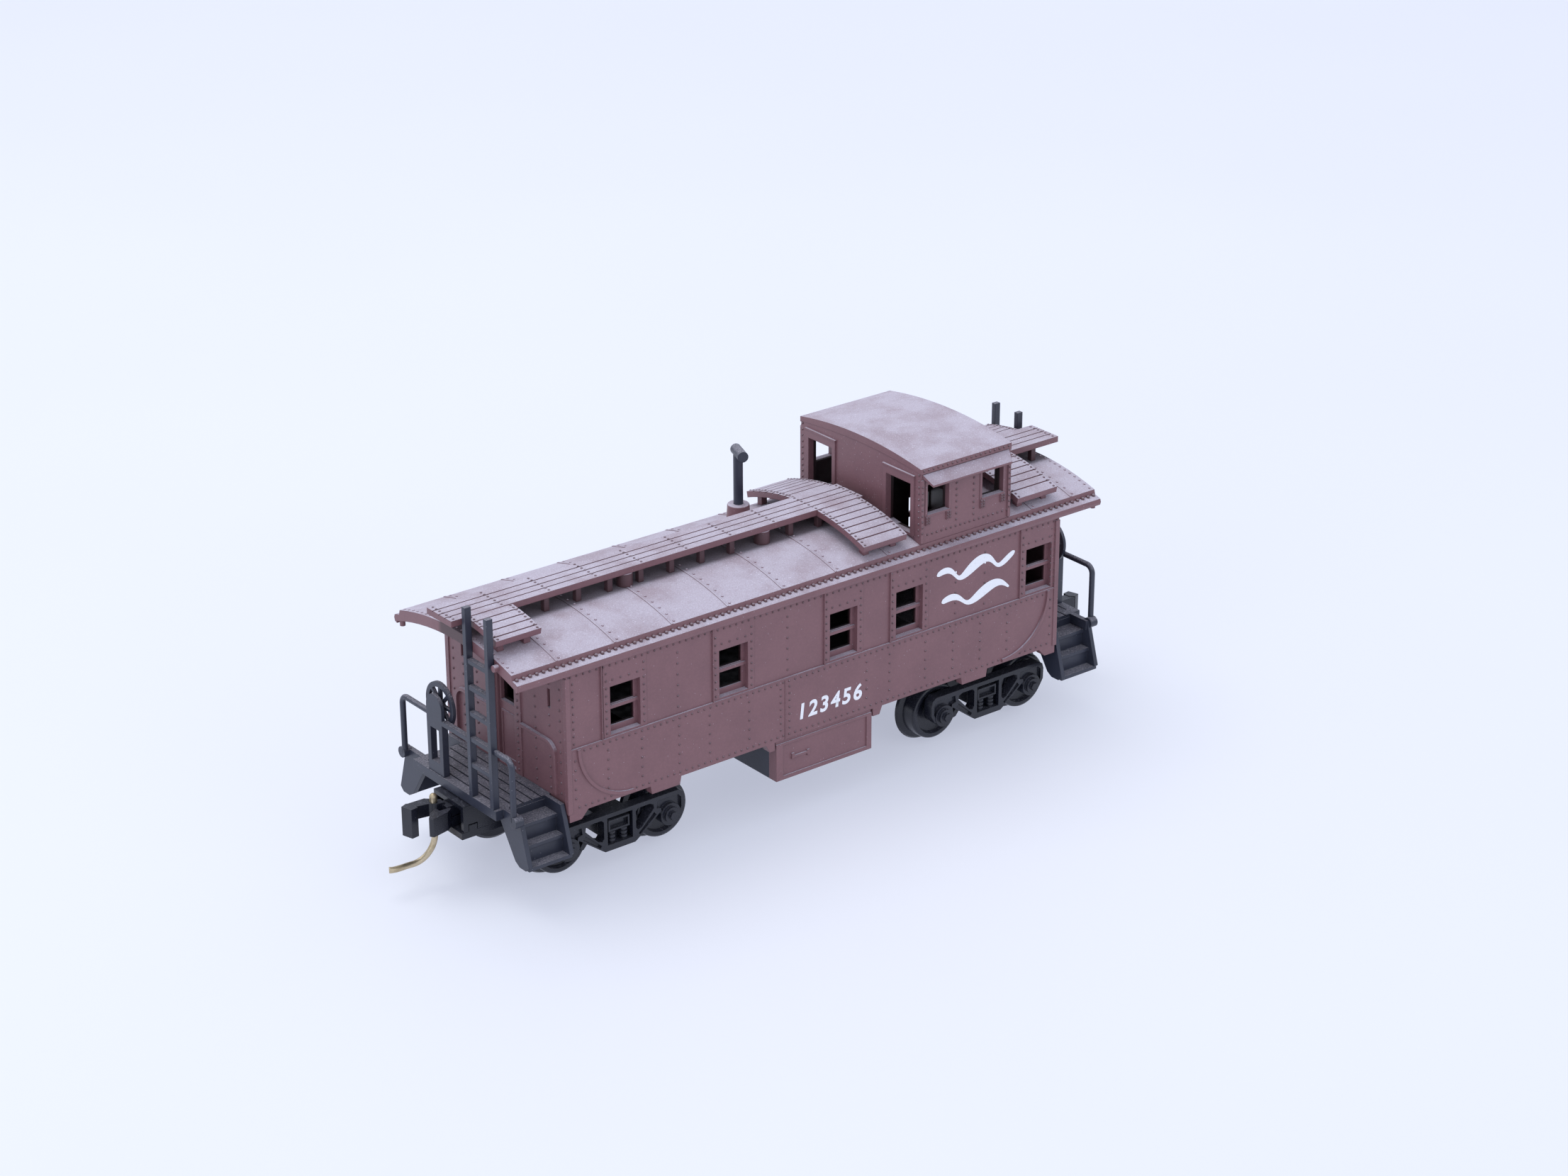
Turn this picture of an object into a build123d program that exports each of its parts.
from build123d import *
import os
from math import cos, sin, radians, sqrt

# Model caboose, N scale (1:160): riveted steel body, offset cupola, open end platforms and
# truck-mounted magnetic couplers. Millimetres. X runs along the car with the cupola toward +X,
# Y runs across it, Z is up. The origin is on the floor under the middle of the car, level with
# the bottoms of the wheel flanges. The two ends are half-turn copies of each other.

os.makedirs("parts", exist_ok=True)

# ---- driving dimensions ----
BODY_HALF_LENGTH = 26.95
BODY_HALF_WIDTH = 8.7
SILL_Z = 7.6
TAB_Z = 6.85
BELT_Z = 13.3
SIDE_TOP_Z = 20.1
WALL = 0.9
SHEET_STEP = 0.12
# each tab under the sill: left end, right end, and how far each end slopes out to the sill
SILL_TABS = ((-26.9, -25.7, 0.0, 0.7), (-18.5, -15.6, 0.15, 0.15), (-6.0, -5.45, 0.4, 0.0),
             (5.45, 6.2, 0.0, 0.3), (15.8, 18.6, 0.15, 0.15), (25.7, 26.9, 0.7, 0.0))

WINDOW_WIDTH = 3.04
WINDOW_BOTTOM_Z = 13.57
WINDOW_TOP_Z = 17.93
WINDOW_CENTRES = (-21.0, -9.77, 2.15, 9.55, 24.7)
SASH_DEPTH = 0.5

ROOF_HALF_LENGTH = 31.75
ROOF_SHEET_HALF_WIDTH = 8.24
ROOF_CROWN_Z = 22.65
ROOF_RADIUS = 28.5
ROOF_THICKNESS = 0.95
GUTTER_HALF_WIDTH = 9.15
ROOF_SEAMS = (-27.3, -21.5, -15.7, -9.9, -4.1, 1.7, 7.5, 24.2, 28.9)

CUPOLA_X0 = 11.06
CUPOLA_X1 = 21.41
CUPOLA_HALF_WIDTH = 8.25
CUPOLA_EAVE_Z = 28.05
CUPOLA_CROWN_Z = 29.25
CUPOLA_WALL = 0.75
CUPOLA_ROOF_THICKNESS = 0.7
CUPOLA_ROOF_RADIUS = 42.9

WALK_TOP_Z = 24.3
WALK_HALF_WIDTH = 1.8
WALK_THICKNESS = 0.55
WALK_END_X = 33.1
CROSS_WALK_RADIUS = 24.0
PLANK = 0.9
VENTS_X = (-15.5, -0.9)

PLATFORM_Z = 8.6
PLATFORM_FRONT_X = 32.4
STEP_FRONT_X = 31.65
STEP_REAR_X = 27.15
LADDER_FRONT_X = 32.4
LADDER_BACK_X = 31.8
RAIL_X = 31.95
RAIL_RADIUS = 0.26

TRUCK_X = 20.57
HALF_WHEELBASE = 5.24
AXLE_Z = 3.24
TREAD_RADIUS = 2.62
FLANGE_RADIUS = 3.24
BACK_TO_BACK = 7.5
WHEEL_FACE_Y = 5.8
FRAME_INNER_Y = 6.0
FRAME_OUTER_Y = 7.0
AXLE_RADIUS = 0.62
JOURNAL_RADIUS = 0.35
RUNNING_GAP = 0.05
CENTRE_PLATE_Z = 6.2
KINGPIN_RADIUS = 0.7

BOX_FRONT_X = 12.43
BOX_BACK_X = 7.2
BOX_HALF_WIDTH = 2.2
BOX_TOP_Z = 7.6
BOX_BOTTOM_Z = 4.6
LID_TOP_Z = 5.2
POST_X = 9.6
POST_RADIUS = 0.45
COUPLER_MID_Z = 6.15
TRIP_WIRE_RADIUS = 0.27


def roof_z(y, drop=0.0):
    """Height of the roof's top surface at y, or of a surface drop below it."""
    radius = ROOF_RADIUS - drop
    return ROOF_CROWN_Z - ROOF_RADIUS + sqrt(radius * radius - y * y)


def cross_walk_z(y, drop=0.0):
    """Height of a curved cross walk's top surface at y."""
    radius = CROSS_WALK_RADIUS - drop
    return WALK_TOP_Z - CROSS_WALK_RADIUS + sqrt(radius * radius - y * y)


def spaced(start, stop, pitch):
    """Evenly spaced positions from start to stop, close to pitch apart."""
    count = max(1, round(abs(stop - start) / pitch))
    return [start + (stop - start) * i / count for i in range(count + 1)]


def finish(builder, label, file_name):
    """Names a finished piece and writes it."""
    builder.part.label = label
    export_step(builder.part, "parts/" + file_name + ".step")


# ---- body shell: sides, ends, recessed sashes, doors and handrails ----
with BuildPart() as body_shell:
    with BuildSketch(Plane.YZ.offset(-BODY_HALF_LENGTH)):
        with BuildLine():
            l1 = Line((-BODY_HALF_WIDTH, SILL_Z), (BODY_HALF_WIDTH, SILL_Z))
            l2 = Line(l1 @ 1, (BODY_HALF_WIDTH, roof_z(BODY_HALF_WIDTH, ROOF_THICKNESS)))
            l3 = ThreePointArc(l2 @ 1, (0, roof_z(0, ROOF_THICKNESS)),
                               (-BODY_HALF_WIDTH, roof_z(BODY_HALF_WIDTH, ROOF_THICKNESS)))
            Line(l3 @ 1, l1 @ 0)
        make_face()
    extrude(amount=2 * BODY_HALF_LENGTH)
    # hollow, open below and above
    with Locations((0, 0, 15.0)):
        Box(2 * (BODY_HALF_LENGTH - WALL), 2 * (BODY_HALF_WIDTH - WALL), 20.0, mode=Mode.SUBTRACT)
    for side in (-1, 1):
        face_plane = Plane(origin=(0, side * BODY_HALF_WIDTH, 0), x_dir=(1, 0, 0), z_dir=(0, side, 0))
        flip = -side
        # lower side sheet stands a little proud, with tabs below the sill
        with BuildSketch(face_plane):
            with Locations((0, flip * (SILL_Z + BELT_Z) / 2)):
                Rectangle(2 * BODY_HALF_LENGTH, BELT_Z - SILL_Z)
        extrude(amount=SHEET_STEP)
        with BuildSketch(face_plane.offset(SHEET_STEP)):
            for tab_x0, tab_x1, slope0, slope1 in SILL_TABS:
                with BuildLine():
                    Polyline((tab_x0 - slope0, flip * SILL_Z), (tab_x1 + slope1, flip * SILL_Z),
                             (tab_x1, flip * TAB_Z), (tab_x0, flip * TAB_Z), close=True)
                make_face()
        extrude(amount=-SHEET_STEP - WALL)
        # raised window panels between belt and eave
        with BuildSketch(face_plane):
            for centre in WINDOW_CENTRES:
                with Locations((centre, flip * (BELT_Z + SIDE_TOP_Z) / 2)):
                    Rectangle(4.4, SIDE_TOP_Z - BELT_Z)
        extrude(amount=0.05)
        # curved corner beads below the belt
        with BuildSketch(face_plane):
            for end in (-1, 1):
                start = 180 if end < 0 else 0
                centre_point = (end * 20.45, flip * BELT_Z)
                with BuildLine():
                    outer = CenterArc(centre_point, 5.55, start, -end * flip * 90)
                    inner = CenterArc(centre_point, 5.25, start, -end * flip * 90)
                    Line(outer @ 0, inner @ 0)
                    Line(outer @ 1, inner @ 1)
                make_face()
        extrude(amount=SHEET_STEP + 0.16)
        # belt bead and corner posts
        with BuildSketch(face_plane):
            with Locations((0, flip * (BELT_Z + 0.03))):
                Rectangle(2 * BODY_HALF_LENGTH, 0.14)
            for end in (-1, 1):
                with Locations((end * (BODY_HALF_LENGTH - 0.1), flip * (SILL_Z + SIDE_TOP_Z) / 2)):
                    Rectangle(0.2, SIDE_TOP_Z - SILL_Z)
            for x in (-23.4, -11.97, 0.0, 7.35, 22.45):
                with Locations((x, flip * (BELT_Z + SIDE_TOP_Z) / 2)):
                    Rectangle(0.1, SIDE_TOP_Z - BELT_Z)
            with Locations((-4.3, flip * (SILL_Z + BELT_Z) / 2)):
                Rectangle(0.12, BELT_Z - SILL_Z)
        extrude(amount=SHEET_STEP + 0.05)
        # window openings, then two panes through the recessed sash
        with BuildSketch(face_plane.offset(0.3)):
            for centre in WINDOW_CENTRES:
                with Locations((centre, flip * (WINDOW_BOTTOM_Z + WINDOW_TOP_Z) / 2)):
                    Rectangle(WINDOW_WIDTH, WINDOW_TOP_Z - WINDOW_BOTTOM_Z)
        extrude(amount=-0.3 - SASH_DEPTH, mode=Mode.SUBTRACT)
        with BuildSketch(face_plane):
            for centre in WINDOW_CENTRES:
                for low, high in ((14.1, 15.65), (16.05, 17.6)):
                    with Locations((centre, flip * (low + high) / 2)):
                        Rectangle(WINDOW_WIDTH - 0.6, high - low)
        extrude(amount=-WALL - 0.5, mode=Mode.SUBTRACT)
        # sash beads around the panes and the sloping sill
        with BuildSketch(face_plane.offset(-SASH_DEPTH)):
            for centre in WINDOW_CENTRES:
                with Locations((centre, flip * 15.85)):
                    Rectangle(WINDOW_WIDTH, 0.3)
        extrude(amount=0.18)
    for end in (-1, 1):
        end_plane = Plane(origin=(end * BODY_HALF_LENGTH, 0, 0), x_dir=(0, 1, 0), z_dir=(end, 0, 0))
        up = end
        # door recess, door window and door panel bead
        with BuildSketch(end_plane.offset(0.3)):
            with Locations((0, up * 14.45)):
                Rectangle(2.5, 11.3)
        extrude(amount=-0.3 - 0.3, mode=Mode.SUBTRACT)
        with BuildSketch(end_plane):
            with Locations((0, up * 16.7)):
                Rectangle(2.0, 4.4)
        extrude(amount=-WALL - 0.5, mode=Mode.SUBTRACT)
        with BuildSketch(end_plane.offset(-0.3)):
            with Locations((0, up * 16.7)):
                Rectangle(2.3, 4.7)
            with Locations((0, up * 16.7)):
                Rectangle(2.0, 4.4, mode=Mode.SUBTRACT)
            with Locations((0, up * 11.4)):
                Rectangle(2.1, 4.4)
            with Locations((0, up * 11.4)):
                Rectangle(1.8, 4.1, mode=Mode.SUBTRACT)
        extrude(amount=0.1)
        # riveted door posts and the two handrails beside the door
        with BuildSketch(end_plane):
            for y in (-1.85, 1.85):
                with Locations((y, up * 14.6)):
                    Rectangle(0.9, 12.0)
        extrude(amount=0.12)
        with BuildSketch(end_plane):
            for hand in (-1, 1):
                with BuildLine():
                    a = Line((hand * 2.36, up * 13.65), (hand * 6.2, up * 13.65))
                    b = ThreePointArc(a @ 1, (hand * (6.2 + 1.25 * sin(radians(45))),
                                              up * (12.4 + 1.25 * cos(radians(45)))), (hand * 7.45, up * 12.4))
                    c = Line(b @ 1, (hand * 7.45, up * 9.0))
                    d = Line(c @ 1, (hand * 7.15, up * 9.0))
                    e = Line(d @ 1, (hand * 7.15, up * 12.4))
                    f = ThreePointArc(e @ 1, (hand * (6.2 + 0.95 * sin(radians(45))),
                                              up * (12.4 + 0.95 * cos(radians(45)))), (hand * 6.2, up * 13.35))
                    g = Line(f @ 1, (hand * 2.36, up * 13.35))
                    Line(g @ 1, a @ 0)
                make_face()
        extrude(amount=0.32)
        # narrow ventilation slots high on the end wall
        with BuildSketch(end_plane.offset(0.1)):
            for hand in (-1, 1):
                with Locations((hand * 6.35, up * 17.35)):
                    Rectangle(0.42, 1.7)
        extrude(amount=-0.7, mode=Mode.SUBTRACT)
    # corner angles that cover the edges of the side and end sheets
    for end in (-1, 1):
        for hand in (-1, 1):
            with Locations((end * (BODY_HALF_LENGTH - 0.14), hand * (BODY_HALF_WIDTH - 0.06),
                            (SILL_Z + 19.9) / 2)):
                Box(0.48, 0.5, 19.9 - SILL_Z)
finish(body_shell, "body_shell", "body_shell")

# ---- main roof: curved sheet, gutters, seams, and the opening under the cupola ----
with BuildPart() as main_roof:
    with BuildSketch(Plane.YZ.offset(-ROOF_HALF_LENGTH)):
        with BuildLine():
            edge = ROOF_SHEET_HALF_WIDTH
            top = ThreePointArc((-edge, roof_z(edge)), (0, ROOF_CROWN_Z), (edge, roof_z(edge)))
            right = Polyline(top @ 1, (edge + 0.12, 20.98), (8.72, 20.9), (9.05, 20.78),
                             (GUTTER_HALF_WIDTH, 20.5), (9.05, 20.2), (8.85, SIDE_TOP_Z), (8.72, SIDE_TOP_Z),
                             (8.72, roof_z(8.72, ROOF_THICKNESS)))
            under = ThreePointArc(right @ 1, (0, roof_z(0, ROOF_THICKNESS)),
                                  (-8.72, roof_z(8.72, ROOF_THICKNESS)))
            Polyline(under @ 1, (-8.72, SIDE_TOP_Z), (-8.85, SIDE_TOP_Z), (-9.05, 20.2),
                     (-GUTTER_HALF_WIDTH, 20.5), (-9.05, 20.78), (-8.72, 20.9), (-edge - 0.12, 20.98), top @ 0)
        make_face()
    extrude(amount=2 * ROOF_HALF_LENGTH)
    # thin raised seams across the sheet
    for x in ROOF_SEAMS:
        with BuildSketch(Plane.YZ.offset(x - 0.1)):
            with BuildLine():
                s1 = ThreePointArc((-edge, roof_z(edge)), (0, ROOF_CROWN_Z), (edge, roof_z(edge)))
                s2 = Line(s1 @ 1, (edge, roof_z(edge) + 0.05))
                s3 = ThreePointArc(s2 @ 1, (0, ROOF_CROWN_Z + 0.05), (-edge, roof_z(edge) + 0.05))
                Line(s3 @ 1, s1 @ 0)
            make_face()
        extrude(amount=0.2)
    # the cupola is open to the inside of the car
    with Locations(((CUPOLA_X0 + CUPOLA_X1) / 2, 0, 21.5)):
        Box(CUPOLA_X1 - CUPOLA_X0 - 1.6, 2 * CUPOLA_HALF_WIDTH - 3.0, 6.0, mode=Mode.SUBTRACT)
    # at each end a round pin beside the ladder, and a small peg under the opposite corner
    for end in (-1, 1):
        with BuildSketch(Plane(origin=(end * (ROOF_HALF_LENGTH - 0.3), 0, 0), x_dir=(0, 1, 0),
                               z_dir=(end, 0, 0))):
            with Locations((end * 6.3, end * 21.45)):
                Circle(0.3)
        extrude(amount=0.75)
        with Locations((end * 31.35, -end * 8.5, 19.85)):
            Cylinder(0.24, 0.75, align=(Align.CENTER, Align.CENTER, Align.MIN))
finish(main_roof, "main_roof", "main_roof")

# what stands on the roof is cut to this: everything from the roof's top surface down
with BuildPart() as roof_and_below:
    with BuildSketch(Plane.YZ.offset(-WALK_END_X)):
        with Locations((0, ROOF_CROWN_Z - ROOF_RADIUS)):
            Circle(ROOF_RADIUS - 0.02)
    extrude(amount=2 * WALK_END_X)
    add(main_roof.part)

# ---- cupola: walls with open windows, and its own roof ----
with BuildPart() as cupola_walls:
    with BuildSketch(Plane.YZ.offset(CUPOLA_X0)):
        with BuildLine():
            w1 = Line((-CUPOLA_HALF_WIDTH, 20.0), (CUPOLA_HALF_WIDTH, 20.0))
            w2 = Line(w1 @ 1, (CUPOLA_HALF_WIDTH, CUPOLA_EAVE_Z))
            w3 = ThreePointArc(w2 @ 1, (0, CUPOLA_CROWN_Z - CUPOLA_ROOF_THICKNESS),
                               (-CUPOLA_HALF_WIDTH, CUPOLA_EAVE_Z))
            Line(w3 @ 1, w1 @ 0)
        make_face()
    extrude(amount=CUPOLA_X1 - CUPOLA_X0)
    with Locations(((CUPOLA_X0 + CUPOLA_X1) / 2, 0, 24.0)):
        Box(CUPOLA_X1 - CUPOLA_X0 - 2 * CUPOLA_WALL, 2 * (CUPOLA_HALF_WIDTH - CUPOLA_WALL), 20.0,
            mode=Mode.SUBTRACT)
    # raised frames round the end windows, then the openings
    for end in (-1, 1):
        x = CUPOLA_X0 if end < 0 else CUPOLA_X1
        wall_plane = Plane(origin=(x, 0, 0), x_dir=(0, 1, 0), z_dir=(end, 0, 0))
        up = end
        with BuildSketch(wall_plane):
            for hand in (-1, 1):
                with Locations((hand * 5.4, up * 24.85)):
                    Rectangle(4.2, 5.7)
        extrude(amount=0.14)
        with BuildSketch(wall_plane):
            for hand in (-1, 1):
                with Locations((hand * 5.4, up * 27.62)):
                    Rectangle(4.3, 0.16)
        extrude(amount=0.2)
        with BuildSketch(wall_plane.offset(0.5)):
            for hand in (-1, 1):
                with Locations((hand * 5.4, up * 24.55)):
                    Rectangle(3.3, 4.6)
        extrude(amount=-0.5 - CUPOLA_WALL - 0.3, mode=Mode.SUBTRACT)
    for side in (-1, 1):
        wall_plane = Plane(origin=(0, side * CUPOLA_HALF_WIDTH, 0), x_dir=(1, 0, 0), z_dir=(0, side, 0))
        flip = -side
        with BuildSketch(wall_plane):
            for x in (13.05, 19.35):
                with Locations((x, flip * 24.02)):
                    Rectangle(2.6, 0.18)
                for dx in (-1.18, 1.18):
                    with Locations((x + dx, flip * 23.55)):
                        Rectangle(0.5, 0.85)
            for x in (CUPOLA_X0 + 0.15, CUPOLA_X1 - 0.15):
                with Locations((x, flip * 24.5)):
                    Rectangle(0.3, 5.9)
        extrude(amount=0.14)
        # thin plates round the side windows
        with BuildSketch(wall_plane):
            for x in (13.05, 19.35):
                with Locations((x, flip * 25.75)):
                    Rectangle(2.95, 3.7)
        extrude(amount=0.07)
        with BuildSketch(wall_plane.offset(0.5)):
            for x in (13.05, 19.35):
                with Locations((x, flip * 25.5)):
                    Rectangle(2.45, 2.8)
        extrude(amount=-0.5 - CUPOLA_WALL - 0.3, mode=Mode.SUBTRACT)
    # the walls stand on the curved roof
    add(roof_and_below.part, mode=Mode.SUBTRACT)
finish(cupola_walls, "cupola_walls", "cupola_walls")

with BuildPart() as cupola_roof:
    overhang = 0.05
    half = CUPOLA_HALF_WIDTH + 0.08
    with BuildSketch(Plane.YZ.offset(CUPOLA_X0 - overhang)):
        with BuildLine():
            r1 = ThreePointArc((-half, CUPOLA_EAVE_Z + 0.45), (0, CUPOLA_CROWN_Z), (half, CUPOLA_EAVE_Z + 0.45))
            r2 = Polyline(r1 @ 1, (half, CUPOLA_EAVE_Z - 0.05), (CUPOLA_HALF_WIDTH, CUPOLA_EAVE_Z - 0.05),
                          (CUPOLA_HALF_WIDTH, CUPOLA_EAVE_Z))
            r3 = ThreePointArc(r2 @ 1, (0, CUPOLA_CROWN_Z - CUPOLA_ROOF_THICKNESS),
                               (-CUPOLA_HALF_WIDTH, CUPOLA_EAVE_Z))
            Polyline(r3 @ 1, (-CUPOLA_HALF_WIDTH, CUPOLA_EAVE_Z - 0.05), (-half, CUPOLA_EAVE_Z - 0.05), r1 @ 0)
        make_face()
    extrude(amount=CUPOLA_X1 - CUPOLA_X0 + 2 * overhang)
finish(cupola_roof, "cupola_roof", "cupola_roof")

# one sloping awning shades both side windows
for side, name in ((-1, "right"), (1, "left")):
    with BuildPart() as awning:
        with BuildSketch(Plane.YZ.offset(CUPOLA_X0 + 0.2)):
            with BuildLine():
                Polyline((side * (CUPOLA_HALF_WIDTH + 0.01), 27.95), (side * (CUPOLA_HALF_WIDTH + 0.95), 27.15),
                         (side * (CUPOLA_HALF_WIDTH + 0.95), 26.95), (side * (CUPOLA_HALF_WIDTH + 0.01), 27.6),
                         close=True)
            make_face()
        extrude(amount=CUPOLA_X1 - CUPOLA_X0 - 0.4)
        # both ends are cut back toward the free edge
        with BuildSketch(Plane.XY.offset(26.5)):
            for x, lean in ((CUPOLA_X0 + 0.2, 1), (CUPOLA_X1 - 0.2, -1)):
                with BuildLine():
                    Polyline((x - lean * 0.5, side * (CUPOLA_HALF_WIDTH - 0.1)), (x, side * CUPOLA_HALF_WIDTH),
                             (x + lean * 0.5, side * (CUPOLA_HALF_WIDTH + 1.1)),
                             (x - lean * 0.5, side * (CUPOLA_HALF_WIDTH + 1.1)), close=True)
                make_face()
        extrude(amount=2.0, mode=Mode.SUBTRACT)
    finish(awning, "cupola_awning_" + name, "cupola_awning_" + name)


# ---- running boards: planks run along the car, with grooves between them ----
def straight_walk(x0, x1):
    """A flat centre walk with plank grooves and short legs down to the roof."""
    with BuildPart() as walk:
        with BuildSketch(Plane.YZ.offset(x0)):
            with Locations((0, WALK_TOP_Z - WALK_THICKNESS / 2)):
                Rectangle(2 * WALK_HALF_WIDTH, WALK_THICKNESS)
            for y in (-PLANK, 0, PLANK):
                with Locations((y, WALK_TOP_Z)):
                    Rectangle(0.12, 0.24, mode=Mode.SUBTRACT)
        extrude(amount=x1 - x0)
        inner0 = max(x0, -ROOF_HALF_LENGTH) + 1.6
        inner1 = min(x1, ROOF_HALF_LENGTH) - 1.6
        leg_places = [(x, y) for x in spaced(inner0, inner1, 3.3) for y in (-1.5, 1.5)]
        leg_places = [p for p in leg_places if min(abs(p[0] - vent) for vent in VENTS_X) > 1.1]
        with BuildSketch(Plane.XY.offset(WALK_TOP_Z - WALK_THICKNESS)):
            with Locations(*leg_places):
                Rectangle(0.5, 0.5)
        extrude(amount=-1.3)
        add(roof_and_below.part, mode=Mode.SUBTRACT)
    return walk


long_walk = straight_walk(-WALK_END_X, 9.95)
with BuildPart() as running_board_long:
    add(long_walk.part)
finish(running_board_long, "running_board_long", "running_board_long")
short_walk = straight_walk(22.0, WALK_END_X)
with BuildPart() as running_board_short:
    add(short_walk.part)
finish(running_board_short, "running_board_short", "running_board_short")


def cross_walk(x0, x1, y0, y1):
    """One curved wing of a cross walk between y0 and y1, with plank grooves and two legs."""
    hand = 1 if y1 > y0 else -1
    mid = (y0 + y1) / 2
    with BuildPart() as wing:
        with BuildSketch(Plane.YZ.offset(x0)):
            with BuildLine():
                t = ThreePointArc((y0, cross_walk_z(y0)), (mid, cross_walk_z(mid)), (y1, cross_walk_z(y1)))
                e = Line(t @ 1, (y1 - hand * 0.12, cross_walk_z(y1) - WALK_THICKNESS))
                u = ThreePointArc(e @ 1, (mid, cross_walk_z(mid) - WALK_THICKNESS),
                                  (y0, cross_walk_z(y0) - WALK_THICKNESS))
                Line(u @ 1, t @ 0)
            make_face()
            groove = y0 + hand * PLANK
            while abs(groove) < abs(y1) - 0.4:
                with Locations((groove, cross_walk_z(groove))):
                    Rectangle(0.12, 0.26, mode=Mode.SUBTRACT)
                groove += hand * PLANK
        extrude(amount=x1 - x0)
        leg_y = y1 - hand * 1.1
        with BuildSketch(Plane.XY.offset(cross_walk_z(leg_y) - WALK_THICKNESS + 0.1)):
            with Locations((x0 + 0.9, leg_y), (x1 - 0.9, leg_y)):
                Rectangle(0.6, 0.6)
        extrude(amount=-1.6)
        add(roof_and_below.part, mode=Mode.SUBTRACT)
    return wing


WING_TIP_Y = 8.2
for name, x0, x1, y0, y1 in (
        ("cross_walk_rear_right", 4.8, 9.65, -WALK_HALF_WIDTH, -WING_TIP_Y),
        ("cross_walk_rear_left", 4.8, 9.65, WALK_HALF_WIDTH, WING_TIP_Y),
        ("cross_walk_front_right", 22.5, 27.2, -WALK_HALF_WIDTH, -WING_TIP_Y),
        ("cross_walk_front_left", 22.5, 27.2, WALK_HALF_WIDTH, WING_TIP_Y),
        ("ladder_walk_a", -31.55, -27.15, -WALK_HALF_WIDTH, -5.95),
        ("ladder_walk_b", 27.3, 31.55, WALK_HALF_WIDTH, 5.95)):
    wing = cross_walk(x0, x1, y0, y1)
    finish(wing, name, name)

# ---- smokejack: black pipe with a tee cap on a flared brown base; two plain roof vents ----
STACK_X = 1.4
STACK_Y = 5.0
with BuildPart() as smokejack_base:
    with Locations((STACK_X, STACK_Y, 21.3)):
        Cone(1.14, 0.98, 2.3, align=(Align.CENTER, Align.CENTER, Align.MIN))
    top_ring = smokejack_base.edges().filter_by(GeomType.CIRCLE).sort_by(Axis.Z)[-1]
    fillet(top_ring, 0.12)
    with Locations((STACK_X, STACK_Y, 23.0)):
        Cylinder(0.43, 2.0, mode=Mode.SUBTRACT)
    add(roof_and_below.part, mode=Mode.SUBTRACT)
finish(smokejack_base, "smokejack_base", "smokejack_base")

with BuildPart() as smokejack:
    with Locations((STACK_X, STACK_Y, 22.95)):
        Cylinder(0.43, 5.2, align=(Align.CENTER, Align.CENTER, Align.MIN))
    with BuildSketch(Plane(origin=(STACK_X + 0.15, STACK_Y, 28.3), z_dir=(0.35, 0.937, 0))):
        Circle(0.49)
    extrude(amount=1.1, both=True)
finish(smokejack, "smokejack", "smokejack")

for name, x, y in (("roof_vent_rear", VENTS_X[0], -1.25), ("roof_vent_front", VENTS_X[1], -1.25)):
    with BuildPart() as vent:
        with Locations((x, y, 22.0)):
            Cylinder(0.72, WALK_TOP_Z - WALK_THICKNESS - 22.0, align=(Align.CENTER, Align.CENTER, Align.MIN))
        add(roof_and_below.part, mode=Mode.SUBTRACT)
    finish(vent, name, name)

# ---- underframe inside the shell, with centre sill, bolsters and truck bosses; steel weight ----
FLOOR_TOP_Z = 8.7
with BuildPart() as underframe:
    with BuildSketch(Plane.XY.offset(7.75)):
        Rectangle(2 * (BODY_HALF_LENGTH - WALL), 2 * (BODY_HALF_WIDTH - WALL))
    extrude(amount=FLOOR_TOP_Z - 7.75)
    with BuildSketch(Plane.XY.offset(7.75)):
        Rectangle(26.0, 2.4)
        with Locations((-8.5, 0), (8.5, 0)):
            Rectangle(0.8, 12.0)
    extrude(amount=-0.85)
    with BuildSketch(Plane.XY.offset(7.75)):
        with Locations((-TRUCK_X, 0), (TRUCK_X, 0)):
            Circle(1.9)
    extrude(amount=CENTRE_PLATE_Z + RUNNING_GAP - 7.75)
    with BuildSketch(Plane.XY.offset(FLOOR_TOP_Z)):
        with Locations((-TRUCK_X, 0), (TRUCK_X, 0)):
            Circle(KINGPIN_RADIUS)
    extrude(amount=-4, mode=Mode.SUBTRACT)
finish(underframe, "underframe", "underframe")

with BuildPart() as steel_weight:
    with Locations((0, 0, FLOOR_TOP_Z)):
        Box(32.0, 12.0, 1.5, align=(Align.CENTER, Align.CENTER, Align.MIN))
finish(steel_weight, "steel_weight", "steel_weight")

# ---- tool box under the middle: black box with a framed brown door each side ----
TOOL_BOX_HALF_LENGTH = 5.3
TOOL_BOX_BOTTOM_Z = 3.8
with BuildPart() as tool_box:
    with Locations((0, 0, TOOL_BOX_BOTTOM_Z)):
        Box(2 * TOOL_BOX_HALF_LENGTH, 15.58, 7.7 - TOOL_BOX_BOTTOM_Z,
            align=(Align.CENTER, Align.CENTER, Align.MIN))
    # saddle over the centre sill
    with Locations((0, 0, 7.7)):
        Box(12.0, 2.6, 1.7, mode=Mode.SUBTRACT)
finish(tool_box, "tool_box", "tool_box")

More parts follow.
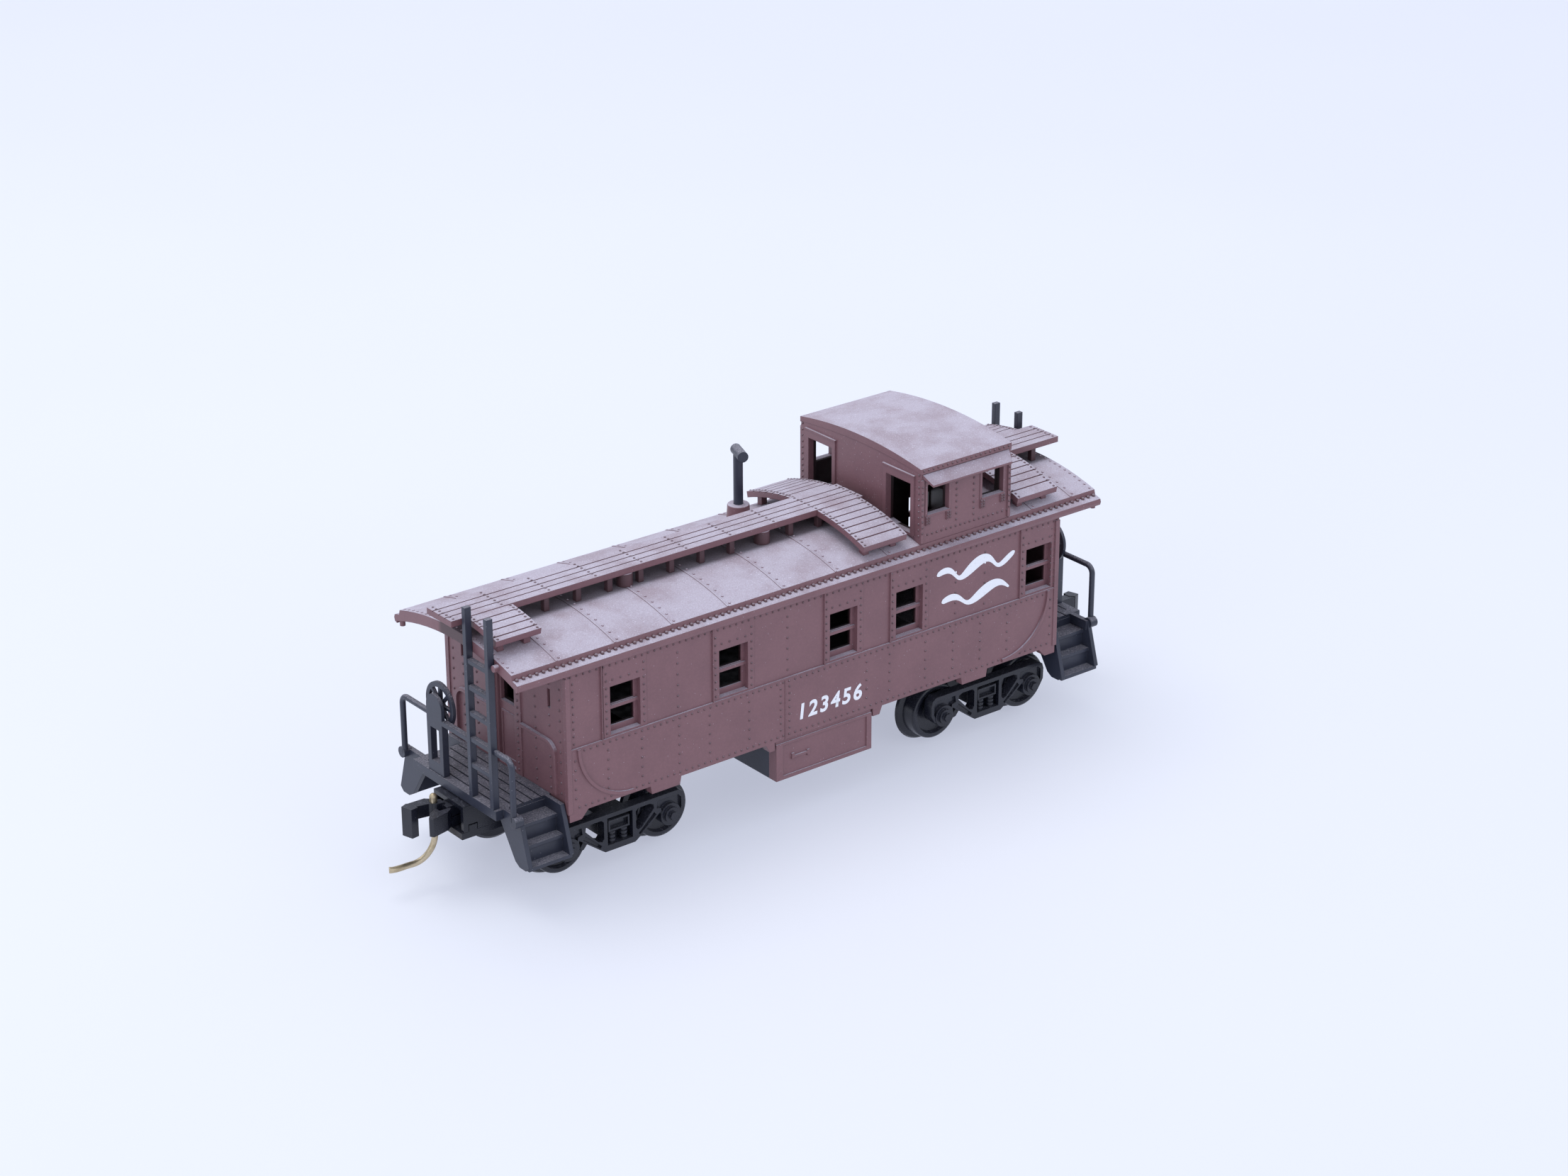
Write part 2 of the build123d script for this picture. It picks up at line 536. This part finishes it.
for side, name in ((-1, "right"), (1, "left")):
    door_plane = Plane(origin=(0, side * 7.79, 0), x_dir=(1, 0, 0), z_dir=(0, side, 0))
    flip = -side
    with BuildPart() as tool_box_door:
        with BuildSketch(door_plane):
            with Locations((0, flip * (TOOL_BOX_BOTTOM_Z + SILL_Z) / 2)):
                Rectangle(2 * TOOL_BOX_HALF_LENGTH, SILL_Z - TOOL_BOX_BOTTOM_Z)
        extrude(amount=0.92)
        # raised edge frame
        with BuildSketch(door_plane.offset(0.92)):
            with Locations((0, flip * 5.55)):
                Rectangle(2 * TOOL_BOX_HALF_LENGTH, 3.5)
            with Locations((0.1, flip * 5.6)):
                Rectangle(2 * TOOL_BOX_HALF_LENGTH - 1.3, 2.9, mode=Mode.SUBTRACT)
        extrude(amount=0.12)
        # latch bar and its two staples
        with BuildSketch(door_plane.offset(0.92)):
            with Locations((-2.6, flip * 5.65)):
                Rectangle(1.7, 0.22)
            with Locations((-3.45, flip * 5.75), (-1.75, flip * 5.6)):
                Rectangle(0.3, 0.55)
        extrude(amount=0.14)
    finish(tool_box_door, "tool_box_door_" + name, "tool_box_door_" + name)


# ---- end platforms with steps, railings, ladder, brake stand and brake wheel ----
# Each is drawn for the -X end; the +X end is the same piece turned half round.
def both_ends(piece, name):
    """Writes a piece at the -X end as NAME_a and its half-turn copy at the +X end as NAME_b."""
    finish(piece, name + "_a", name + "_a")
    with BuildPart() as turned:
        add(piece.part.rotate(Axis.Z, 180))
    finish(turned, name + "_b", name + "_b")


with BuildPart() as platform:
    # deck, with a deeper front beam
    with BuildSketch(Plane.XY.offset(PLATFORM_Z)):
        with Locations((-(PLATFORM_FRONT_X + BODY_HALF_LENGTH + 0.02) / 2, 0)):
            Rectangle(PLATFORM_FRONT_X - BODY_HALF_LENGTH - 0.02, 12.4)
    extrude(amount=-0.55)
    with BuildSketch(Plane.XY.offset(PLATFORM_Z)):
        with Locations((-(PLATFORM_FRONT_X - 0.35), 0)):
            Rectangle(0.7, 12.4)
        with Locations((-(STEP_FRONT_X - 0.25), 0)):
            Rectangle(0.5, 16.8)
    extrude(amount=-0.85)
    # rounded beam ends that carry the railing posts
    for hand in (-1, 1):
        with BuildSketch(Plane(origin=(-31.4, 0, 0), x_dir=(0, 1, 0), z_dir=(-1, 0, 0))):
            with Locations((hand * 8.35, -(PLATFORM_Z - 0.25))):
                Circle(0.5)
        extrude(amount=0.8)
    # grooves between the deck planks
    with BuildSketch(Plane.XY.offset(PLATFORM_Z)):
        for x in (27.9, 28.8, 29.7, 30.6, 31.5):
            with Locations((-x, 0)):
                Rectangle(0.12, 13.0)
    extrude(amount=-0.14, mode=Mode.SUBTRACT)
    for hand in (-1, 1):
        # side plates of the steps
        for plate_x in (-STEP_FRONT_X, -(STEP_REAR_X + 0.4)):
            with BuildSketch(Plane.YZ.offset(plate_x)):
                with BuildLine():
                    Polyline((hand * 5.3, PLATFORM_Z - 0.55), (hand * 7.7, 4.45), (hand * 8.3, 4.1),
                             (hand * 9.2, 4.1), (hand * 9.65, 4.5), (hand * 8.75, 7.6),
                             (hand * 8.45, PLATFORM_Z), (hand * 5.3, PLATFORM_Z), close=True)
                make_face()
            extrude(amount=0.4)
        # treads and risers are one folded sheet, each tread with a small nosing
        with BuildSketch(Plane.YZ.offset(-STEP_FRONT_X + 0.1)):
            with BuildLine():
                Polyline((hand * 5.95, PLATFORM_Z - 0.3), (hand * 6.25, PLATFORM_Z - 0.3),
                         (hand * 6.25, 7.62), (hand * 7.95, 7.62), (hand * 7.95, 7.3), (hand * 7.78, 7.3),
                         (hand * 7.78, 6.05), (hand * 8.75, 6.05), (hand * 8.75, 5.73), (hand * 8.58, 5.73),
                         (hand * 8.58, 4.45), (hand * 9.55, 4.45), (hand * 9.55, 4.13), (hand * 8.28, 4.13),
                         (hand * 8.28, 5.73), (hand * 7.48, 5.73), (hand * 7.48, 7.3), (hand * 5.95, 7.3),
                         close=True)
            make_face()
        extrude(amount=STEP_FRONT_X - STEP_REAR_X - 0.2)
both_ends(platform, "platform")

LADDER_LEFT_Y = -2.55
LADDER_RIGHT_Y = -5.65
STAND_CENTRE_Y = 2.75
RAIL_TOP_Z = 13.75
RAIL_POST_Y = 8.15
with BuildPart() as ladder:
    for y, top in ((LADDER_LEFT_Y, 25.6), (LADDER_RIGHT_Y, 25.6)):
        with BuildSketch(Plane.XY.offset(PLATFORM_Z)):
            with Locations((-(LADDER_FRONT_X + LADDER_BACK_X) / 2, y)):
                Rectangle(LADDER_FRONT_X - LADDER_BACK_X, 0.46)
        extrude(amount=top - PLATFORM_Z)
    for i in range(5):
        with BuildSketch(Plane.XY.offset(11.35 + 2.35 * i)):
            with Locations((-(LADDER_FRONT_X + LADDER_BACK_X) / 2, (LADDER_LEFT_Y + LADDER_RIGHT_Y) / 2)):
                Rectangle(LADDER_FRONT_X - LADDER_BACK_X - 0.1, 2.9)
        extrude(amount=0.38)
both_ends(ladder, "ladder")

with BuildPart() as brake_stand:
    stand_plane = Plane(origin=(-31.72, 0, 0), x_dir=(0, 1, 0), z_dir=(-1, 0, 0))
    # plate with a rounded top and a long slot; the foot is deeper
    with BuildSketch(stand_plane):
        with Locations((STAND_CENTRE_Y, -(PLATFORM_Z + 14.7) / 2)):
            Rectangle(2.3, 14.7 - PLATFORM_Z)
        with Locations((STAND_CENTRE_Y, -14.7)):
            Circle(1.15)
        with Locations((STAND_CENTRE_Y, -11.2)):
            Rectangle(1.25, 3.1, mode=Mode.SUBTRACT)
    extrude(amount=0.58)
    # thin the upper part from behind so the brake wheel has room
    with Locations((-31.72, STAND_CENTRE_Y, 15.2)):
        Box(0.5, 3.0, 3.2, mode=Mode.SUBTRACT)
    with BuildSketch(stand_plane.offset(0.25)):
        with Locations((STAND_CENTRE_Y, -14.72)):
            Circle(0.28)
    extrude(amount=-0.62)
both_ends(brake_stand, "brake_stand")

with BuildPart() as brake_wheel:
    wheel_plane = Plane(origin=(-31.42, 0, 0), x_dir=(0, 1, 0), z_dir=(-1, 0, 0))
    with BuildSketch(wheel_plane):
        with Locations((STAND_CENTRE_Y, -14.72)):
            Circle(2.05)
            Circle(1.6, mode=Mode.SUBTRACT)
            Circle(0.55)
        with Locations((STAND_CENTRE_Y, -14.72)):
            for angle in range(0, 180, 45):
                Rectangle(3.5, 0.26, rotation=angle)
        with Locations((STAND_CENTRE_Y, -14.72)):
            Circle(0.28, mode=Mode.SUBTRACT)
    extrude(amount=0.3)
both_ends(brake_wheel, "brake_wheel")

for hand, start_y, name in ((1, STAND_CENTRE_Y + 1.1, "brake_side_rail"),
                            (-1, LADDER_RIGHT_Y - 0.2, "ladder_side_rail")):
    bend = 0.75
    with BuildPart() as rail:
        with BuildLine(Plane.YZ.offset(-RAIL_X)):
            top_bar = Line((start_y, RAIL_TOP_Z), (hand * (RAIL_POST_Y - bend), RAIL_TOP_Z))
            corner = ThreePointArc(top_bar @ 1,
                                   (hand * (RAIL_POST_Y - bend + bend * sin(radians(45))),
                                    RAIL_TOP_Z - bend + bend * cos(radians(45))),
                                   (hand * RAIL_POST_Y, RAIL_TOP_Z - bend))
            Line(corner @ 1, (hand * RAIL_POST_Y, PLATFORM_Z - 0.25))
        with BuildSketch(Plane(origin=(-RAIL_X, start_y, RAIL_TOP_Z), z_dir=(0, hand, 0))):
            Circle(RAIL_RADIUS)
        sweep()
        # the rail butts against the deck, ladder and brake stand
        add(platform.part, mode=Mode.SUBTRACT)
        add(ladder.part, mode=Mode.SUBTRACT)
        add(brake_stand.part, mode=Mode.SUBTRACT)
    both_ends(rail, name)

with BuildPart() as cross_bar:
    bar_start_y = STAND_CENTRE_Y - 1.15
    bar_end_y = LADDER_LEFT_Y + 0.23
    with Locations((-32.05, (bar_start_y + bar_end_y) / 2, 13.6)):
        Box(0.5, bar_start_y - bar_end_y, 0.42)
both_ends(cross_bar, "cross_bar")


# ---- trucks ----
# Each truck is drawn about its own centre with its coupler toward +X, then set in place: straight
# for the +X truck (b) and turned half round for the -X truck (a).
def place_truck_piece(piece, name):
    """Writes a truck piece for both trucks."""
    with BuildPart() as at_a:
        add(piece.part.rotate(Axis.Z, 180).translate((-TRUCK_X, 0, 0)))
    finish(at_a, name + "_a", name + "_a")
    with BuildPart() as at_b:
        add(piece.part.translate((TRUCK_X, 0, 0)))
    finish(at_b, name + "_b", name + "_b")


with BuildPart() as truck_frame:
    # bolster with raised centre plate
    with BuildSketch(Plane.XY.offset(2.9)):
        Rectangle(2.9, 2 * FRAME_INNER_Y + 0.2)
    extrude(amount=1.9)
    with BuildSketch(Plane.XY.offset(4.8)):
        Circle(2.3)
    extrude(amount=CENTRE_PLATE_Z - 4.8)
    # arm out over the axle to the draft box
    with BuildSketch(Plane.XY.offset(4.6)):
        with Locations((BOX_BACK_X / 2, 0)):
            Rectangle(BOX_BACK_X, 2.8)
    extrude(amount=1.0)
    # draft box: open in front and below, with the pivot post
    with BuildSketch(Plane.XY.offset(LID_TOP_Z)):
        with Locations(((BOX_BACK_X + BOX_FRONT_X) / 2, 0)):
            Rectangle(BOX_FRONT_X - BOX_BACK_X, 2 * BOX_HALF_WIDTH)
    extrude(amount=BOX_TOP_Z - LID_TOP_Z)
    with BuildSketch(Plane.XY.offset(LID_TOP_Z - 0.1)):
        with Locations(((BOX_BACK_X + BOX_FRONT_X) / 2 + 0.4, 0)):
            Rectangle(BOX_FRONT_X - BOX_BACK_X, 2 * BOX_HALF_WIDTH - 0.8)
    extrude(amount=7.2 - LID_TOP_Z + 0.1, mode=Mode.SUBTRACT)
    with BuildSketch(Plane.XY.offset(LID_TOP_Z)):
        with Locations((POST_X, 0)):
            Circle(POST_RADIUS)
    extrude(amount=7.3 - LID_TOP_Z)
    # notch in each side wall where the lid clips on
    for hand in (-1, 1):
        with Locations((11.5, hand * BOX_HALF_WIDTH, LID_TOP_Z + 0.3)):
            Box(0.9, 0.44, 0.7, mode=Mode.SUBTRACT)
    # side frames: a flat top bar, sloping lower members, and a window for the bolster and its springs
    for hand in (-1, 1):
        frame_plane = Plane(origin=(0, hand * FRAME_INNER_Y, 0), x_dir=(1, 0, 0), z_dir=(0, hand, 0))
        flip = -hand
        depth = FRAME_OUTER_Y - FRAME_INNER_Y
        with BuildSketch(frame_plane):
            with BuildLine():
                Polyline((-6.2, flip * 5.28), (6.2, flip * 5.28), (6.6, flip * 5.0), (6.75, flip * 4.5),
                         (6.72, flip * 3.5), (6.3, flip * 2.8), (4.3, flip * 3.2), (4.2, flip * 3.75),
                         (1.85, flip * 2.0), (1.55, flip * 1.8), (-1.55, flip * 1.8), (-1.85, flip * 2.0),
                         (-4.2, flip * 3.75), (-4.3, flip * 3.2), (-6.3, flip * 2.8), (-6.72, flip * 3.5),
                         (-6.75, flip * 4.5), (-6.6, flip * 5.0), close=True)
            make_face()
            for end in (-1, 1):
                with BuildLine():
                    Polyline((end * 1.65, flip * 4.65), (end * 1.9, flip * 4.88), (end * 3.1, flip * 4.88),
                             (end * 3.5, flip * 4.7), (end * 3.55, flip * 4.35), (end * 2.25, flip * 2.98),
                             (end * 1.85, flip * 2.85), (end * 1.65, flip * 3.1), close=True)
                make_face(mode=Mode.SUBTRACT)
            with Locations((0, flip * 3.62)):
                Rectangle(2.6, 2.55, mode=Mode.SUBTRACT)
        extrude(amount=depth)
        # shallow pockets beside the journals and along the sloping members leave raised rims
        with BuildSketch(frame_plane.offset(depth)):
            for end in (-1, 1):
                with BuildLine():
                    Polyline((end * 3.95, flip * 4.85), (end * 6.1, flip * 4.85), (end * 6.4, flip * 4.5),
                             (end * 6.4, flip * 3.6), (end * 6.2, flip * 3.2), (end * 4.45, flip * 3.45),
                             (end * 4.3, flip * 4.1), (end * 3.85, flip * 4.2), close=True)
                make_face()
                with BuildLine():
                    Polyline((end * 3.55, flip * 3.95), (end * 3.8, flip * 3.65), (end * 2.05, flip * 2.3),
                             (end * 1.9, flip * 2.5), close=True)
                make_face()
        extrude(amount=-0.25, mode=Mode.SUBTRACT)
        # plate behind the springs, and the bolster's end with a raised rim
        with BuildSketch(frame_plane):
            with Locations((0, flip * 3.0)):
                Rectangle(2.8, 1.5)
        extrude(amount=0.2)
        with BuildSketch(frame_plane.offset(-0.2)):
            with Locations((0, flip * 4.0)):
                Rectangle(2.2, 1.05)
        extrude(amount=1.05)
        with BuildSketch(frame_plane.offset(0.5)):
            with Locations((0, flip * 4.0)):
                Rectangle(1.85, 0.7)
        extrude(amount=0.5, mode=Mode.SUBTRACT)
        # two bolster springs
        for x in (-0.62, 0.62):
            for i in range(3):
                with Locations((x, hand * (FRAME_INNER_Y + 0.5), 2.5 + 0.36 * i)):
                    Cylinder(0.38, 0.22, align=(Align.CENTER, Align.CENTER, Align.MIN))
            with Locations((x, hand * (FRAME_INNER_Y + 0.5), 2.2)):
                Cylinder(0.27, 1.4, align=(Align.CENTER, Align.CENTER, Align.MIN))
        # journal boxes with stepped round lids and a nut
        journals = ((-HALF_WHEELBASE, flip * AXLE_Z), (HALF_WHEELBASE, flip * AXLE_Z))
        with BuildSketch(frame_plane):
            with Locations(*journals):
                Circle(1.02)
        extrude(amount=1.08)
        with BuildSketch(frame_plane.offset(1.08)):
            with Locations(*journals):
                Circle(0.72)
        extrude(amount=0.26)
        with BuildSketch(frame_plane.offset(1.34)):
            with Locations(*journals):
                RegularPolygon(0.4, 6)
        extrude(amount=0.26)
        # brake hanger feet
        with BuildSketch(frame_plane):
            for end in (-1, 1):
                with BuildLine():
                    Polyline((end * 2.75, flip * 3.1), (end * 3.2, flip * 3.4), (end * 3.75, flip * 2.6),
                             (end * 3.6, flip * 2.35), (end * 3.35, flip * 2.4), close=True)
                make_face()
        extrude(amount=0.4)
        # blind bearings for the axle ends
        with BuildSketch(frame_plane):
            with Locations(*journals):
                Circle(JOURNAL_RADIUS + RUNNING_GAP)
        extrude(amount=0.6, mode=Mode.SUBTRACT)
    # kingpin hole and the recess for its head
    with Locations((0, 0, 4.0)):
        Cylinder(KINGPIN_RADIUS + RUNNING_GAP, 6.0, mode=Mode.SUBTRACT)
    with Locations((0, 0, 2.0)):
        Cylinder(1.25, 1.6, align=(Align.CENTER, Align.CENTER, Align.MIN), mode=Mode.SUBTRACT)
place_truck_piece(truck_frame, "truck_frame")

with BuildPart() as kingpin:
    with Locations((0, 0, 2.75)):
        Cylinder(1.15, 0.75, align=(Align.CENTER, Align.CENTER, Align.MIN))
    with Locations((0, 0, 3.4)):
        Cylinder(KINGPIN_RADIUS, FLOOR_TOP_Z - 3.45, align=(Align.CENTER, Align.CENTER, Align.MIN))
place_truck_piece(kingpin, "kingpin")

with BuildPart() as draft_box_lid:
    with BuildSketch(Plane.XY.offset(BOX_BOTTOM_Z)):
        with Locations(((BOX_BACK_X + BOX_FRONT_X) / 2, 0)):
            Rectangle(BOX_FRONT_X - BOX_BACK_X, 2 * BOX_HALF_WIDTH)
    extrude(amount=LID_TOP_Z - BOX_BOTTOM_Z)
    with BuildSketch(Plane.XY.offset(BOX_BOTTOM_Z)):
        with Locations((BOX_FRONT_X + 0.1, 0)):
            Rectangle(0.2, 2 * BOX_HALF_WIDTH)
    extrude(amount=0.6)
    for hand in (-1, 1):
        with Locations((11.5, hand * (BOX_HALF_WIDTH - 0.11), LID_TOP_Z + 0.25)):
            Box(0.8, 0.22, 0.6)
place_truck_piece(draft_box_lid, "draft_box_lid")

# one-piece wheelset, drawn as half a section and spun about the axle
with BuildPart() as wheelset:
    half = BACK_TO_BACK / 2
    with BuildSketch(Plane.XY):
        with BuildLine():
            Polyline((0, 0), (AXLE_RADIUS, 0), (AXLE_RADIUS, half - 0.15), (1.3, half), (FLANGE_RADIUS - 0.25, half),
                     (FLANGE_RADIUS, half + 0.2), (FLANGE_RADIUS - 0.15, half + 0.42),
                     (TREAD_RADIUS + 0.05, half + 0.6), (TREAD_RADIUS, WHEEL_FACE_Y - 0.22),
                     (TREAD_RADIUS - 0.06, WHEEL_FACE_Y - 0.07), (TREAD_RADIUS - 0.2, WHEEL_FACE_Y),
                     (2.15, WHEEL_FACE_Y),
                     (2.0, WHEEL_FACE_Y - 0.45), (1.0, WHEEL_FACE_Y - 0.55), (0.85, WHEEL_FACE_Y - 0.02),
                     (JOURNAL_RADIUS, WHEEL_FACE_Y), (JOURNAL_RADIUS, 6.45), (0, 6.55), close=True)
        make_face()
    revolve(axis=Axis.Y)
    mirror(about=Plane.XZ)
axle_piece = wheelset.part
for name, truck, offset_x in (("wheelset_a_outer", -1, -HALF_WHEELBASE), ("wheelset_a_inner", -1, HALF_WHEELBASE),
                              ("wheelset_b_inner", 1, -HALF_WHEELBASE), ("wheelset_b_outer", 1, HALF_WHEELBASE)):
    with BuildPart() as wheels:
        add(axle_piece.translate((truck * TRUCK_X + offset_x, 0, AXLE_Z)))
    finish(wheels, name, name)

# ---- coupler: lower half with the guard arm, upper half with the knuckle, trip pin, spring ----
SHANK_HALF_WIDTH = 0.7
RING_RADIUS = 1.0
with BuildPart() as coupler_lower:
    with BuildSketch(Plane.XY.offset(LID_TOP_Z + 0.05)):
        with Locations((POST_X, 0)):
            Circle(RING_RADIUS)
        with Locations(((POST_X + 13.1) / 2, 0)):
            Rectangle(13.1 - POST_X, 2 * SHANK_HALF_WIDTH)
        with Locations((POST_X, 0)):
            Circle(POST_RADIUS + RUNNING_GAP, mode=Mode.SUBTRACT)
    extrude(amount=COUPLER_MID_Z - 0.03 - LID_TOP_Z - 0.05)
    # flared guard arm, full height ahead of the shank
    with BuildSketch(Plane.XY.offset(5.45)):
        with BuildLine():
            Polyline((12.75, 0.15), (13.6, 0.0), (14.6, 0.55), (15.25, 1.35), (15.0, 1.7), (13.4, 1.35),
                     (12.75, 0.9), close=True)
        make_face()
    extrude(amount=1.65)
    with BuildSketch(Plane.XY.offset(COUPLER_MID_Z - 0.03)):
        with Locations((12.7, 0)):
            Rectangle(2.1, 1.36)
    extrude(amount=1.2, mode=Mode.SUBTRACT)
    fillet_edges = coupler_lower.edges().filter_by(Axis.Z).group_by(Axis.X)[-1]
    fillet(fillet_edges, 0.12)
place_truck_piece(coupler_lower, "coupler_lower")

with BuildPart() as coupler_upper:
    with BuildSketch(Plane.XY.offset(COUPLER_MID_Z + 0.03)):
        with Locations((POST_X, 0)):
            Circle(RING_RADIUS)
        with Locations(((POST_X + 13.0) / 2, 0)):
            Rectangle(13.0 - POST_X, 2 * SHANK_HALF_WIDTH - 0.1)
        with Locations((POST_X, 0)):
            Circle(POST_RADIUS + RUNNING_GAP, mode=Mode.SUBTRACT)
    extrude(amount=7.15 - COUPLER_MID_Z - 0.03)
    # head: arm forward on one side, knuckle block across its end
    with BuildSketch(Plane.XY.offset(COUPLER_MID_Z + 0.03)):
        with BuildLine():
            Polyline((12.8, -0.65), (12.8, 0.05), (13.5, -0.1), (14.0, -0.55), (15.2, -0.75), (15.9, -0.7),
                     (16.1, -1.35), (15.4, -1.65), (13.8, -1.6), close=True)
        make_face()
    extrude(amount=7.35 - COUPLER_MID_Z - 0.03)
    with BuildSketch(Plane.XY.offset(4.75)):
        with BuildLine():
            Polyline((15.15, -0.45), (15.85, -0.35), (16.15, -1.4), (15.55, -1.65), (15.1, -1.2), close=True)
        make_face()
    extrude(amount=7.4 - 4.75)
    with Locations((13.55, -0.55, 6.0)):
        Cylinder(TRIP_WIRE_RADIUS, 4.0, mode=Mode.SUBTRACT)
place_truck_piece(coupler_upper, "coupler_upper")

TRIP_X = 13.55
TRIP_Y = -0.55
with BuildPart() as trip_pin:
    with Locations((TRIP_X, TRIP_Y, 4.6)):
        Cylinder(TRIP_WIRE_RADIUS, 3.1, align=(Align.CENTER, Align.CENTER, Align.MIN))
    with Locations((TRIP_X, TRIP_Y, 7.45)):
        Cylinder(0.33, 0.4, align=(Align.CENTER, Align.CENTER, Align.MIN))
    with Locations((TRIP_X, TRIP_Y, 7.85)):
        Sphere(0.33)
    with BuildLine(Plane.XZ.offset(-TRIP_Y)):
        drop = Line((TRIP_X, 4.8), (TRIP_X, 4.2))
        bow = ThreePointArc(drop @ 1, (14.25, 2.85), (15.9, 2.3))
        Spline(bow @ 1, (18.15, 2.5), tangents=(bow % 1, (1, 0.16)))
    with BuildSketch(Plane.XY.offset(4.8)):
        with Locations((TRIP_X, TRIP_Y)):
            Circle(TRIP_WIRE_RADIUS)
    sweep(is_frenet=False)
place_truck_piece(trip_pin, "trip_pin")

SPRING_RADIUS = 0.6
SPRING_WIRE = 0.1
with BuildPart() as coupler_spring:
    with BuildLine():
        coil = Helix(pitch=0.26, height=0.78, radius=SPRING_RADIUS, center=(7.69, 0, COUPLER_MID_Z),
                     direction=(1, 0, 0))
    with BuildSketch(Plane(origin=coil @ 0, z_dir=coil % 0)):
        Circle(SPRING_WIRE)
    sweep(is_frenet=True)
place_truck_piece(coupler_spring, "coupler_spring")
